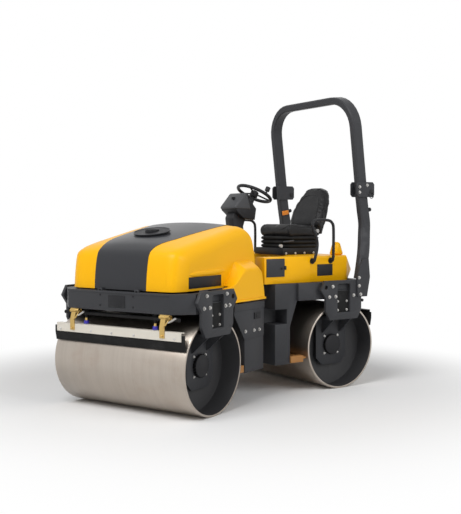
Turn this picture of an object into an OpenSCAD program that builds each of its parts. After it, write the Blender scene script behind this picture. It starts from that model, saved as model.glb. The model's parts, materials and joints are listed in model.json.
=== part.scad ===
// Articulated tandem road roller with two smooth steel drums, an engine hood over the front drum,
// an operator's seat over the rear drum and a folding roll-over bar.
// Millimetres. +X is forward along the rear half, +Y is its left side, +Z is up.
// The origin is on the ground under the steering pin. The front half stands turned to the left.

/* [Drums] */
// Diameter of each drum
drum_d = 700; // [660:5:740]
// Width of each drum
drum_w = 1200; // [1100:10:1260]
// Thickness of the drum shell
drum_shell = 16; // [10:1:24]
// Depth from the drum's rim to its end plate
drum_recess = 160; // [140:5:180]
// Distance between the two drum axles
wheelbase = 1720; // [1700:5:1780]
// Radius of each axle stub
axle_r = 30; // [20:1:40]

/* [Steering] */
// Angle that the front half is turned to the left
steer_rest = 22; // [0:1:24]
// Radius of the steering pin
hitch_pin_r = 25; // [18:1:32]
// Thickness of each hitch plate
hitch_plate = 30; // [20:1:40]

/* [Chassis] */
// Height of the rails around each drum
rail_h = 140; // [110:5:160]
// Width of the rails around each drum
rail_w = 60; // [40:2:70]
// Gap between the top of a drum and the rails
rail_clear = 40; // [25:5:60]
// Thickness of the fork plates
fork_t = 24; // [16:1:30]
// Gap between a drum's rim and the fork plate
fork_gap = 12; // [8:1:20]
// Radius of the tie-down holes in the forks
tie_r = 18; // [12:1:22]
// Height of the bottom of the chassis boxes
box_bottom = 240; // [200:5:300]
// Depth of the foot step in the left and right box
step_depth = 118; // [90:2:140]

/* [Hood] */
// Height of the hood's crown above the ground
hood_top = 1372; // [1320:2:1400]
// Half width of the hood's body, with drums 1200 wide
hood_half_w = 506; // [480:2:520]
// Half width of the dark strip along the hood, with drums 1200 wide
strip_half_w = 238; // [180:2:260]
// Thickness of the hood's panels
hood_t = 10; // [6:1:14]

/* [Operator's place] */
// Height of the rear tank's top
tank_top = 1090; // [1060:5:1120]
// Half width of the rear tank, with drums 1200 wide
tank_half_w = 520; // [490:5:530]
// Width of the seat
seat_w = 440; // [400:10:480]
// Diameter of the steering wheel
wheel_d = 320; // [280:5:380]
// Tilt of the steering wheel towards the seat
wheel_tilt = 27; // [15:1:40]
// Radius of the handrail tube
rail_tube_r = 12; // [9:1:16]

/* [Roll-over bar] */
// Height of the bar's top
bar_top = 2430; // [2300:10:2600]
// Half of the distance between the bar's posts, with drums 1200 wide
bar_half_w = 540; // [510:5:560]
// Depth of the bar's tube, front to back
bar_d = 100; // [80:2:110]
// Width of the bar's tube, side to side
bar_w = 60; // [45:1:70]
// Forward lean of the upper bar
bar_lean = 7; // [0:0.5:10]
// Height of the bar's folding joint
bar_joint_z = 1622; // [1580:2:1660]

/* [Hidden] */
$fn = 48;
eps = 0.01;
// Running clearance of a shaft in its bore
run = 0.05;
drum_r = drum_d / 2;
half_w = drum_w / 2;
axle_x = wheelbase / 2;
// Room from the steering pin to each drum
room = axle_x - drum_r;
// Widths of the upper works follow the drums
wide = drum_w / 1200;
hood_w = hood_half_w * wide;
strip_w = strip_half_w * wide;
tank_w = tank_half_w * wide;
bar_y = bar_half_w * wide;
rail_bottom = drum_d + rail_clear;
rail_top = rail_bottom + rail_h;
rail_y = half_w;
fork_y = half_w + fork_gap;
fork_out = fork_y + fork_t;

// End plates, hubs and forks
end_plate = 20;
end_y = half_w - drum_recess;
hub_r = 80;
hub_gap = 8;
flange_t = 8;
cap_t = 26;
stub_reach = 25;
carrier_t = 20;
carrier_y = end_y + hub_gap + flange_t;
carrier_half = 160;
carrier_top = drum_r + 262;
carrier_bottom = drum_r - 165;
carrier_cut = 60;
fork_head = 245;
fork_leg_out = 192;
fork_leg_in = 70;
fork_foot = carrier_top - 40;
fork_rise = 12;
pad_half = 200;
panel_t = 6;
shelf_t = 28;
rib_t = 16;
rib_x = 92;
tie_x = 190;
window_r = 20;

// Plan of the rails: a straight beam with two chamfered corners
beam_reach = 340;
beam_half = half_w - 133;
chamfer_reach = 217;
deck_t = 20;
neck_x = axle_x - 160;
front_neck = half_w - 60;
rear_neck = half_w - 20;
lip_h = 14;
lip_out = 5;

// Boxes between the drums
front_half_w = half_w - 20;
rear_half_w = half_w - 40;
box_end = 0.843 * room;
box_waist = 0.706 * room;
front_box_back = 0.314 * room;
rear_box_front = 0.412 * room;
step_reach = min(step_depth, 0.8 * (box_waist - rear_box_front));
front_box_top = rail_bottom + 30;
step_bottom = 563;
step_top = 679;
step_width = 150;

// Hitch between the halves
hitch_mid = 450;
hitch_gap = 0.5;
hitch_span = 190;
hitch_eye = 62;
hitch_foot = 150;
hitch_head_r = hitch_pin_r + 14;
hitch_head_h = 14;

// Scrapers and sprinklers
blade_gap = 6;
blade_t = 10;
scraper_half = half_w - 26;
scraper_x = axle_x + 345;
scraper_z = 627;
scraper_h = 62;
scraper_t = 6;
scraper_fold = 34;
scraper_arm_y = half_w - 185;
scraper_arm_w = 44;
blade_tip_z = scraper_z - 130;
inner_z = drum_r - 76;
inner_t = 14;
inner_block = 26;
pipe_r = 13;
pipe_x = axle_x + 305;
pipe_z = rail_bottom - 35;
nozzle_y = half_w - 280;

// Hood
hood_bottom = rail_top + 10;
hood_back = front_box_back + 12;
hood_front = axle_x + 305;
hood_len = hood_front - hood_back;
hood_h = hood_top - hood_bottom;
hood_slope = 11.5;
shoulder_r = 105;
pod_out = half_w;
pod_in = front_neck + 8;
pod_low = front_box_top + 10;
pod_front = neck_x - 8;
badge_t = 4;
hinge_x = hood_front + 13;
hinge_y = 170;
hinge_r = 5;

// Rear tank
tank_front = 0.265 * room;
tank_fold = axle_x - 267;
tank_side_end = axle_x + 140;
tank_end = axle_x + 255;
tank_step = 8;
well_half = tank_w - 120;
mat_t = 8;
hatch_t = 6;

// Seat, console and steering wheel
seat_front = 260 - axle_x;
seat_rear = -axle_x - 145;
seat_base_h = 150;
cushion_h = 105;
wheel_centre = [-rear_box_front - 204, 0, rail_top + 726];
wheel_tube = 14;
wheel_hub_r = 34;
wheel_hub_h = 30;
wheel_spoke_r = 7;
spindle_r = 10;
column_r = 22;

// Roll-over bar
bar_joint_x = -axle_x - 349;
bar_post_x = -axle_x - 274;
bar_bend = 240 * wide;
bar_pin_r = 12;
bar_plate = 12;
bar_gap = 1;
bar_lug_r = 26;
bar_cut = 10;
bar_split = bar_joint_z - 24;
bar_foot_y = fork_out - bar_w / 2 + 1;
bar_foot_t = 14;
bar_step = 4;
bar_mark = 20;

// Colours of the finishes
yellow = [1.0, 0.72, 0.02];
grey = [0.2, 0.21, 0.23];
black = [0.05, 0.05, 0.06];
steel = [0.72, 0.69, 0.66];
cream = [0.9, 0.88, 0.84];
amber = [0.85, 0.45, 0.1];

// Helpers

function unit(v) = v / norm(v);

// A point on the smooth curve through the four points p, at t from its second to its third
function spline4(p, t) = 0.5 * (2 * p[1] + (p[2] - p[0]) * t
    + (2 * p[0] - 5 * p[1] + 4 * p[2] - p[3]) * t * t
    + (3 * p[1] - p[0] - 3 * p[2] + p[3]) * t * t * t);

// A smooth curve through all the points p, with n steps between each two
function spline(p, n) = let (m = len(p) - 1) [
    for (i = [0 : m - 1]) for (k = [0 : n - 1])
        spline4([p[max(i - 1, 0)], p[i], p[i + 1], p[min(i + 2, m)]], k / n),
    p[m]];

function tangent(p, i) = unit(p[min(i + 1, len(p) - 1)] - p[max(i - 1, 0)]);

function ring(r, n) = [for (i = [0 : n - 1]) r * [cos(360 * i / n), sin(360 * i / n)]];

// A rectangle a by b with its corners cut by c
function cut_rect(a, b, c) = let (x = a / 2, y = b / 2)
    [[x, y - c], [x - c, y], [c - x, y], [-x, y - c], [-x, c - y], [c - x, -y], [x - c, -y], [x, c - y]];

// Corners of a quarter arc about c, from angle a in six steps
function arc(c, r, a) = [for (k = [0 : 6]) c + r * [cos(a + 15 * k), sin(a + 15 * k)]];

function left_of(v) = [-v[1], v[0]] / norm(v);

// The outline p, which runs anticlockwise, moved inwards by d
function inset(p, d) = let (n = len(p)) [for (i = [0 : n - 1]) let (
    a = left_of(p[i] - p[(i + n - 1) % n]),
    b = left_of(p[(i + 1) % n] - p[i]))
    p[i] + d * (a + b) / (1 + a * b)];

// A solid swept along the path, with its outline's first axis along side
module sweep(path, outline, side) {
    n = len(outline);
    m = len(path);
    points = [for (i = [0 : m - 1]) let (
            t = tangent(path, i),
            u = unit(side - (side * t) * t),
            v = cross(t, u))
        for (q = outline) path[i] + u * q[0] + v * q[1]];
    sides = [for (i = [0 : m - 2]) for (j = [0 : n - 1]) let (k = (j + 1) % n, a = i * n, b = (i + 1) * n)
        for (f = [[a + j, b + j, b + k], [a + j, b + k, a + k]]) f];
    polyhedron(points, concat([[for (j = [0 : n - 1]) j]], sides,
        [[for (j = [n - 1 : -1 : 0]) (m - 1) * n + j]]));
}

module front_half() { rotate([0, 0, steer_rest]) children(); }

// The rear half repeats the front half's running gear the other way round
module rear_half() { mirror([1, 0, 0]) children(); }

module right_side() { mirror([0, 1, 0]) children(); }

module both_sides() {
    children();
    right_side() children();
}

// A cylinder along Y from y0 to y1, at x and z
module y_rod(x, z, y0, y1, r) { translate([x, y0, z]) rotate([-90, 0, 0]) cylinder(h = y1 - y0, r = r); }

// An outline in X and Z, as a plate from y0 to y1
module xz_plate(y0, y1) { translate([0, y1, 0]) rotate([90, 0, 0]) linear_extrude(y1 - y0) children(); }

// An outline in Y and Z, as a plate from x0 to x1
module yz_plate(x0, x1) { translate([x0, 0, 0]) rotate([90, 0, 90]) linear_extrude(x1 - x0) children(); }

module block(x0, x1, y0, y1, z0, z1) { translate([x0, y0, z0]) cube([x1 - x0, y1 - y0, z1 - z0]); }

// Drums

module drum() {
    color(steel) translate([axle_x, 0, drum_r]) rotate([-90, 0, 0]) difference() {
        translate([0, 0, -half_w]) cylinder(h = drum_w, r = drum_r);
        for (s = [-1, 1]) translate([0, 0, s * (end_y + drum_recess) - drum_recess])
            cylinder(h = 2 * drum_recess, r = drum_r - drum_shell);
        translate([0, 0, end_plate - end_y]) cylinder(h = 2 * (end_y - end_plate), r = drum_r - drum_shell);
        translate([0, 0, -half_w]) cylinder(h = drum_w, r = axle_r + run);
    }
}

// Hydraulic motor in front of and behind the carrier plate, with the axle stub that the drum turns on
module drum_motor() {
    y_rod(axle_x, drum_r, end_y - end_plate - stub_reach, end_y + hub_gap + eps, axle_r);
    y_rod(axle_x, drum_r, end_y + hub_gap, carrier_y, hub_r);
    y_rod(axle_x, drum_r, carrier_y + carrier_t, carrier_y + carrier_t + cap_t, hub_r);
}

module drum_motors() { color(black) both_sides() drum_motor(); }

// Forks

module fork_outline() {
    low = fork_foot + shelf_t + 30;
    high = rail_top - 15;
    difference() {
        polygon([[-pad_half, rail_top + fork_rise], [-fork_head, rail_top - 60],
                 [-fork_leg_out, rail_top - 130], [-fork_leg_out, fork_foot + 75],
                 [42 - fork_leg_out, fork_foot], [fork_leg_out - 42, fork_foot],
                 [fork_leg_out, fork_foot + 75], [fork_leg_out, rail_top - 130],
                 [fork_head, rail_top - 60], [pad_half, rail_top + fork_rise]]);
        translate([-fork_leg_in, low]) square([2 * fork_leg_in, high - low - window_r]);
        translate([window_r - fork_leg_in, low + 1]) square([2 * (fork_leg_in - window_r), high - low - 1]);
        for (s = [-1, 1]) translate([s * (fork_leg_in - window_r), high - window_r]) circle(r = window_r);
    }
}

// Outer plate with two legs, shelf and ribs, and the carrier plate inside the drum's rim
module fork() {
    color(grey) translate([axle_x, 0, 0]) {
        difference() {
            xz_plate(fork_y, fork_out) fork_outline();
            y_rod(-tie_x, rail_top - 40, fork_y - 1, fork_out + 1, tie_r);
        }
        for (s = [-1, 1]) scale([s, 1, 1])
            block(fork_leg_in, pad_half - 40, rail_y, fork_y + eps, rail_bottom + 16, rail_top - lip_h);
        block(12 - carrier_half, carrier_half - 12, carrier_y, fork_out, fork_foot, fork_foot + shelf_t);
        for (s = [-1, 1]) translate([s * rib_x, 0, 0]) yz_plate(-rib_t / 2, rib_t / 2)
            polygon([[carrier_y + 1, fork_foot + 10], [carrier_y + 1, drum_r + 100],
                     [carrier_y + carrier_t + 6, drum_r + 100], [fork_out - 2, fork_foot + 10]]);
        xz_plate(carrier_y, carrier_y + carrier_t)
            polygon([[-carrier_half, carrier_top], [-carrier_half, carrier_bottom + carrier_cut],
                     [carrier_cut - carrier_half, carrier_bottom],
                     [carrier_half - carrier_cut, carrier_bottom],
                     [carrier_half, carrier_bottom + carrier_cut], [carrier_half, carrier_top]]);
        block(-fork_leg_in - 20, fork_leg_in + 20, fork_y - panel_t, fork_y + eps, fork_foot + shelf_t + 10,
              rail_bottom + 70);
    }
}

// Rails round the drum

// Plan moved inwards by d, with a neck that is narrower than the rails round the drum
function rails_plan(d, neck) = [
    [box_end, d - neck], [neck_x + d, d - neck], [neck_x + d, d - rail_y],
    [axle_x + chamfer_reach - d / 2, d - rail_y], [axle_x + beam_reach - d, d / 2 - beam_half],
    [axle_x + beam_reach - d, beam_half - d / 2], [axle_x + chamfer_reach - d / 2, rail_y - d],
    [neck_x + d, rail_y - d], [neck_x + d, neck - d], [box_end, neck - d]];

module rails(neck) {
    translate([0, 0, rail_bottom]) linear_extrude(rail_h) difference() {
        polygon(rails_plan(0, neck));
        translate([-eps, 0]) polygon(rails_plan(rail_w, neck));
    }
    translate([0, 0, rail_bottom]) linear_extrude(deck_t) polygon(rails_plan(rail_w / 2, neck));
    block(axle_x + beam_reach - rail_w, axle_x + beam_reach + lip_out, -beam_half, beam_half,
          rail_top - lip_h, rail_top);
}

module rear_rails() { color(grey) rear_half() rails(rear_neck); }

// Ears and a pin at two places along the beam carry the hood
module front_rails() {
    color(grey) front_half() {
        rails(front_neck);
        for (s = [-1, 1]) translate([hinge_x, s * hinge_y, 0]) {
            for (e = [-1, 1]) block(-9, 9, e * 15 - 5, e * 15 + 5, rail_top - 1, hood_bottom + 9);
            y_rod(0, hood_bottom, -20, 20, hinge_r);
        }
    }
}

// Scrapers and sprinklers

function drum_face(z) = axle_x + sqrt(drum_r * drum_r - (z - drum_r) * (z - drum_r));

// Bar with a folded top edge, hung from the beam on two arms
module scraper() {
    arm = scraper_arm_w / 2;
    block(scraper_x, scraper_x + scraper_t, -scraper_half, scraper_half, scraper_z - scraper_h, scraper_z);
    block(scraper_x - scraper_fold, scraper_x + scraper_t, -scraper_half, scraper_half,
          scraper_z - scraper_t, scraper_z);
    for (s = [-1, 1]) translate([scraper_x, s * scraper_arm_y, 0]) {
        xz_plate(-arm, arm) polygon([[-22, rail_bottom - 6], [scraper_t - 1, scraper_z + 24],
            [scraper_t - 1, scraper_z - 46], [2 * scraper_t, scraper_z - 46],
            [2 * scraper_t, scraper_z + 28], [-12, rail_bottom - 6]]);
        block(beam_reach - 385, -4, -arm - 6, arm + 6, rail_bottom - 12, rail_bottom);
    }
}

module blade() {
    tip = drum_face(blade_tip_z) + blade_gap;
    low = scraper_z - scraper_h - 6;
    color(black) xz_plate(-scraper_half - 24, scraper_half + 24)
        polygon([[scraper_x, scraper_z - 20], [scraper_x - blade_t, scraper_z - 20],
                 [scraper_x - blade_t, low], [tip, blade_tip_z], [tip + blade_t, blade_tip_z],
                 [scraper_x, low]]);
}

// Plate from the chassis box to the drum, on three blocks
module inner_scraper(from) {
    tip = 2 * axle_x - drum_face(inner_z + inner_t / 2) - blade_gap;
    color(amber) {
        block(from, tip, -scraper_half, scraper_half, inner_z, inner_z + inner_t);
        for (s = [-1, 0, 1]) translate([0, s * (scraper_half - 30), 0])
            block(from, tip - 26, -30, 30, inner_z - inner_block, inner_z + inner_block);
    }
}

module sprinkler() {
    color(black) {
        y_rod(pipe_x, pipe_z, 70 - half_w, half_w - 70, pipe_r);
        for (s = [-1, 1]) translate([pipe_x, s * nozzle_y, 0]) {
            translate([0, 0, pipe_z - 68]) cylinder(h = 63, r = 9);
            block(-6, 6, -20, 20, pipe_z, rail_bottom);
        }
    }
}

// Chassis boxes and the hitch

// Closed box from its back to the waist in front of the drum, wider above
module chassis_box(back, top, waist, half) {
    xz_plate(-half, half)
        polygon([[back, box_bottom], [waist, box_bottom], [waist, drum_r + 190], [box_end, rail_bottom - 5],
                 [box_end, top], [back, top]]);
}

module hitch_plate_at(z, reach) {
    translate([0, 0, z - hitch_plate / 2]) linear_extrude(hitch_plate) difference() {
        union() {
            circle(r = hitch_eye);
            polygon([[0, -hitch_eye], [reach, -hitch_foot], [reach, hitch_foot], [0, hitch_eye]]);
        }
        circle(r = hitch_pin_r + run);
    }
}

module front_chassis() {
    color(grey) front_half() {
        chassis_box(front_box_back, front_box_top, box_end - 1, front_half_w);
        for (s = [-1, 1]) hitch_plate_at(hitch_mid + s * hitch_span / 2, front_box_back + 1);
    }
}

module rear_chassis() {
    color(grey) difference() {
        rear_half() {
            chassis_box(rear_box_front, rail_top, box_waist, rear_half_w);
            for (s = [-1, 1]) hitch_plate_at(hitch_mid + s * (hitch_span / 2 - hitch_plate - hitch_gap),
                                             rear_box_front + 1);
        }
        // Foot steps, open to the side and to the front
        both_sides() block(-rear_box_front - step_reach, 1 - rear_box_front, rear_half_w - step_width,
                           rear_half_w + 1, step_bottom, step_top);
    }
}

module hitch_pin() {
    reach = hitch_span / 2 + hitch_plate / 2 + hitch_gap;
    color(steel) translate([0, 0, hitch_mid]) {
        translate([0, 0, -reach - hitch_head_h]) cylinder(h = 2 * (reach + hitch_head_h), r = hitch_pin_r);
        translate([0, 0, reach]) cylinder(h = hitch_head_h, r = hitch_head_r);
        translate([0, 0, -reach - hitch_head_h]) cylinder(h = hitch_head_h, r = hitch_head_r);
    }
}

// Bolted access panel on each side of the front box, cut back along the drum
module side_panels() {
    low = 492;
    high = front_box_top - 6;
    color(grey) front_half() both_sides() xz_plate(front_half_w, front_half_w + 8)
        polygon([[front_box_back + 8, high], [front_box_back + 8, low + 14], [front_box_back + 22, low],
                 [box_end + 10, low], [1.36 * box_end, low + 198], [1.36 * box_end, high]]);
}

module engine_block() {
    low = rail_bottom + deck_t;
    color(black) front_half() {
        block(axle_x - 330, axle_x + 120, -240, 240, low, low + 310);
        block(axle_x - 250, axle_x + 40, -190, 190, low + 309, low + 400);
    }
}

// Hood

// Place at the fraction f of the hood's length and g of its height
function hood_at(f, g) = [hood_back + f * hood_len, hood_bottom + g * hood_h];

// Side outline, from the front's foot up over the nose and back
function hood_side(low) = concat([[hood_back, low], [hood_front, low]],
    spline([hood_at(0.99, 0.239), hood_at(0.976, 0.425), hood_at(0.958, 0.539), hood_at(0.921, 0.612),
            hood_at(0.854, 0.7), hood_at(0.736, 0.79), hood_at(0.582, 0.869), hood_at(0.431, 0.925),
            hood_at(0.28, 0.972), hood_at(0.169, 0.988), hood_at(0.114, 0.923), hood_at(0.0685, 0.809),
            hood_at(0.0332, 0.664), hood_at(0.01, 0.498)], 2), [hood_at(0, 0.332)]);

// Half of the plan's front, from the middle to the straight side
function hood_corner() = [
    [hood_front, hood_w - 176], [hood_front - 3, hood_w - 106], [hood_front - 15, hood_w - 66],
    [hood_front - 40, hood_w - 34], [hood_front - 80, hood_w - 10], [hood_front - 130, hood_w]];

// Plan with rounded front corners
function hood_plan() = let (c = hood_corner(), n = len(c) - 1) concat([[hood_back, -hood_w]],
    [for (i = [n : -1 : 0]) [c[i][0], -c[i][1]]], c, [[hood_back, hood_w]]);

// Crowned top and round shoulders across the hood, at height z over the slope's middle
function hood_across(z) = let (c = hood_w - shoulder_r) concat([[-hood_w, -1000], [hood_w, -1000]],
    arc([c, z - shoulder_r - 52], shoulder_r, 0), [[strip_w, z - 22], [strip_w / 2, z - 6],
    [-strip_w / 2, z - 6], [-strip_w, z - 22]], arc([-c, z - shoulder_r - 52], shoulder_r, 90));

module hood_solid(d, low) {
    intersection() {
        xz_plate(d - hood_w, hood_w - d) polygon(inset(hood_side(low), d));
        translate([0, 0, low - 1]) linear_extrude(hood_top - low + 20) polygon(inset(hood_plan(), d));
        translate([hood_back + 0.582 * hood_len, 0, hood_top - 82]) rotate([0, hood_slope, 0])
            yz_plate(-1200, 1200) polygon(inset(hood_across(20), d));
    }
}

module hood_shell() {
    difference() {
        hood_solid(0, hood_bottom);
        hood_solid(hood_t, hood_bottom - 3 * hood_t);
    }
}

// Swelling at the hood's foot behind the fork, with a slanting top and a flange along its foot
module hood_pod() {
    back = front_box_back;
    intersection() {
        xz_plate(hood_w, pod_out) polygon([
            [back, pod_low], [pod_front, pod_low], [pod_front, hood_bottom - 4], hood_at(0.43, 0.02),
            hood_at(0.36, 0.115), hood_at(0.31, 0.21), hood_at(0.294, 0.41), hood_at(0.08, 0.41),
            hood_at(0.028, 0.29), hood_at(0.018, 0.02)]);
        yz_plate(0, 2 * axle_x) polygon([
            [pod_in, pod_low], [pod_out, pod_low], [pod_out, hood_bottom + 120], [hood_w, hood_bottom + 198],
            [hood_w, hood_bottom + 5], [pod_in, hood_bottom + 5]]);
    }
    block(back, axle_x - fork_head - 15, pod_out - 1, pod_out + 5, pod_low, pod_low + 18);
}

module hood_panel() {
    color(yellow) {
        intersection() {
            hood_shell();
            block(0, 2 * axle_x, strip_w, hood_w + 1, 0, 2 * hood_top);
        }
        hood_pod();
    }
}

module hood_left() { front_half() hood_panel(); }

module hood_right() { front_half() right_side() hood_panel(); }

// Middle panel, with a knuckle for each of the hood's hinges
module hood_strip() {
    color(grey) front_half() {
        intersection() {
            hood_shell();
            block(0, 2 * axle_x, -strip_w, strip_w, 0, 2 * hood_top);
        }
        for (s = [-1, 1]) translate([hinge_x, s * hinge_y, 0]) difference() {
            union() {
                y_rod(0, hood_bottom, -9, 9, hinge_r + 4);
                block(-18, 0, -9, 9, hood_bottom + 1, hood_bottom + 9);
            }
            y_rod(0, hood_bottom, -10, 10, hinge_r + run);
        }
    }
}

module hood_badges() {
    color(black) front_half() both_sides()
        block(axle_x - 225, axle_x + 170, hood_w, hood_w + badge_t, hood_bottom + 17, hood_bottom + 97);
}

module filler_cap() {
    color(black) front_half() difference() {
        translate([axle_x - 60, 0, hood_top - 150]) cylinder(h = 95, r = 52);
        hood_solid(0, hood_bottom);
    }
}

// Rear tank and the operator's place

function tank_slice(end, side) = [
    [-tank_fold, -side], [-tank_fold, side], [-tank_side_end, side], [-end, side - 75], [-end, 75 - side],
    [-tank_side_end, -side]];

// Side walls of the foot well in front of the tank's body, whose back is creased
module rear_tank() {
    side = tank_w - tank_step;
    color(yellow) {
        both_sides() block(-tank_fold - 1, -tank_front, well_half, tank_w, rail_top, tank_top);
        hull() {
            translate([0, 0, rail_top]) linear_extrude(1) polygon(tank_slice(tank_end - 40, side));
            translate([0, 0, rail_top + 84]) linear_extrude(1) polygon(tank_slice(tank_end, side));
            translate([0, 0, tank_top - 16]) linear_extrude(1) polygon(tank_slice(tank_end - 72, side));
            translate([0, 0, tank_top - 1]) linear_extrude(1) polygon(tank_slice(tank_end - 85, side - 14));
        }
    }
}

module tank_humps() {
    color(yellow) both_sides() translate([-axle_x, 0, tank_top]) xz_plate(tank_w - 120, tank_w - 50)
        polygon([[-150, 0], [-32, 0], [-71, 110], [-108, 110]]);
}

module floor_mat() {
    color(black) block(5 - tank_fold, -rear_box_front - 120, 5 - well_half, well_half - 5, rail_top,
                       rail_top + mat_t);
}

module tank_hatch() {
    color(grey) block(-tank_front - 196, -tank_front - 18, tank_w, tank_w + hatch_t, tank_top - 155,
                      tank_top - 12);
}

// Frame on the tank, with a bellows between it and the plate under the cushion
module seat_base() {
    half = seat_w / 2 - 10;
    rib = (seat_base_h - 80) / 3;
    color(black) {
        block(seat_rear + 60, seat_front + 38, 10 - half, half - 10, tank_top, tank_top + 60);
        block(seat_rear + 30, seat_front, 20 - half, half - 20, tank_top + 59, tank_top + seat_base_h);
        for (i = [0 : 2]) block(seat_rear + 16, seat_front + 14, 6 - half, half - 6, tank_top + 60 + i * rib,
                                tank_top + 60 + (i + 0.7) * rib);
        block(seat_rear, seat_front - 20, -half, half, tank_top + seat_base_h - 20, tank_top + seat_base_h);
    }
}

module seat_cushion() {
    low = tank_top + seat_base_h;
    color(black) xz_plate(-seat_w / 2, seat_w / 2) polygon([
        [seat_rear + 6, low], [seat_front - 24, low], [seat_front, low + 40],
        [seat_front - 6, low + cushion_h - 14], [seat_front - 34, low + cushion_h],
        [seat_rear + 60, low + cushion_h - 18], [seat_rear + 28, low + 60]]);
}

// Backrest with rounded shoulders
module seat_back() {
    low = tank_top + seat_base_h;
    half = seat_w / 2;
    color(black) intersection() {
        xz_plate(-half, half) polygon([
            [seat_rear + 4, low], [seat_rear + 26, low + 62], [seat_rear + 58, low + cushion_h - 16],
            [seat_rear + 52, low + 140], [seat_rear + 22, low + 230], [seat_rear - 74, low + 420],
            [seat_rear - 94, low + 446], [seat_rear - 130, low + 440], [seat_rear - 146, low + 410],
            [seat_rear - 76, low + 220], [seat_rear - 46, low + 100], [seat_rear - 30, low]]);
        yz_plate(seat_rear - 200, seat_rear + 100) polygon([
            [40 - half, low - 1], [half - 40, low - 1], [half - 8, low + 110], [half - 4, low + 210],
            [half - 16, low + 300], [half - 48, low + 370], [half - 100, low + 424], [half - 160, low + 447],
            [160 - half, low + 447], [100 - half, low + 424], [48 - half, low + 370], [16 - half, low + 300],
            [4 - half, low + 210], [8 - half, low + 110]]);
    }
}

// Grab rail beside the seat, on two round feet
module handrail() {
    y = tank_w - tank_step;
    out = y + 34;
    front = [236, y, -40];
    rear = [40, y, -40];
    bow = spline([front + [0, 14, 0], front + [0, 28, 4], [234, out, -15], [216, out, 45], [210, out, 105],
                  [226, out, 165], [256, out, 220], [260, out, 265], [228, out, 292], [100, out, 292],
                  [54, out, 270], [38, out, 220], [38, out, 30], [40, out, -15], rear + [0, 28, 4],
                  rear + [0, 14, 0]], 3);
    color(black) translate([-axle_x, 0, tank_top]) {
        sweep(concat([front], bow, [rear]), ring(rail_tube_r, 12), [0.1, 1, 0.02]);
        for (p = [front, rear]) y_rod(p[0], p[2], y, y + 6, 2 * rail_tube_r);
    }
}

// Column on the front of the rear box, with the instrument head on top
module console() {
    color(black) translate([-rear_box_front, 0, rail_top]) {
        xz_plate(-55, 55) polygon([[-120, 0], [-12, 0], [45, 420], [58, 520], [40, 560], [-90, 560],
                                   [-52, 450]]);
        xz_plate(-105, 105) polygon([[-135, 504], [-20, 518], [60, 585], [64, 612], [-20, 720], [-46, 722],
                                     [-150, 598]]);
    }
}

module at_wheel() { translate(wheel_centre) rotate([0, -wheel_tilt, 0]) children(); }

module steering_column() {
    color(black) difference() {
        at_wheel() {
            translate([0, 0, -160]) cylinder(h = 160 - wheel_hub_h, r = column_r);
            translate([0, 0, -wheel_hub_h - 1]) cylinder(h = wheel_hub_h + 5, r = spindle_r);
        }
        console();
    }
}

module steering_wheel() {
    reach = wheel_d / 2 - wheel_tube;
    color(black) at_wheel() {
        rotate_extrude() translate([reach, 0]) circle(r = wheel_tube);
        difference() {
            translate([0, 0, 0.5 - wheel_hub_h]) cylinder(h = wheel_hub_h + 13, r = wheel_hub_r);
            translate([0, 0, -wheel_hub_h]) cylinder(h = 2 * wheel_hub_h, r = spindle_r + run);
        }
        for (a = [35, 155, 275]) rotate([0, 90, a]) translate([0, 0, wheel_hub_r - 8])
            cylinder(h = reach - wheel_hub_r + 8, r = wheel_spoke_r);
        rotate([0, 0, 95]) translate([reach, 0, 0]) {
            cylinder(h = 50, r = 8);
            translate([0, 0, 28]) cylinder(h = 34, r = 20);
        }
    }
}

// Roll-over bar

// Plate on the outside of the fork
module bar_foot() {
    translate([-axle_x, 0, rail_top]) xz_plate(fork_out, fork_out + bar_foot_t)
        polygon([[-244, -130], [-140, -130], [-132, 30], [-160, 120], [-200, 180], [-260, 180], [-276, 30]]);
}

// Two cheek plates on the top of a lower post, with the folding joint between them
module bar_clevis(gap) {
    low = bar_split - 22;
    high = bar_joint_z + 80;
    back = bar_joint_x - 33;
    front = bar_post_x + bar_d / 2 + 36;
    for (s = [-1, 1]) translate([0, s * (gap + bar_plate / 2), 0]) xz_plate(-bar_plate / 2, bar_plate / 2)
        polygon([[back + 17, low], [front - 19, low], [front, bar_split], [front, high - 18],
                 [front - 18, high], [back + 18, high], [back, high - 18], [back, bar_split]]);
    block(bar_post_x - bar_d / 2, bar_post_x + bar_d / 2, -gap - 1, gap + 1, low, bar_split);
}

// Height at the fraction f of a lower post
function post_z(f) = rail_top + f * (bar_split - rail_top);

// Centre line of a lower post, bowed to the back and in to the hoop
function post_path() = let (y = bar_foot_y) spline([
    [-axle_x - 198, y, rail_top + fork_rise + 1], [-axle_x - 218, y, post_z(0.153)],
    [-axle_x - 258, y - 20, post_z(0.348)], [-axle_x - 300, bar_y + 8, post_z(0.543)],
    [-axle_x - 308, bar_y + 1, post_z(0.668)], [-axle_x - 292, bar_y, post_z(0.808)],
    [bar_post_x, bar_y, bar_split - 20], [bar_post_x, bar_y, bar_split]], bar_step);

module bar_post() {
    gap = bar_w / 2 + bar_gap;
    color(grey) difference() {
        union() {
            sweep(post_path(), cut_rect(bar_d, bar_w, bar_cut), [1, 0, 0]);
            bar_foot();
            translate([0, bar_y, 0]) bar_clevis(gap);
        }
        y_rod(bar_joint_x, bar_joint_z, 0, 2 * bar_y, bar_pin_r + run);
    }
}

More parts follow.
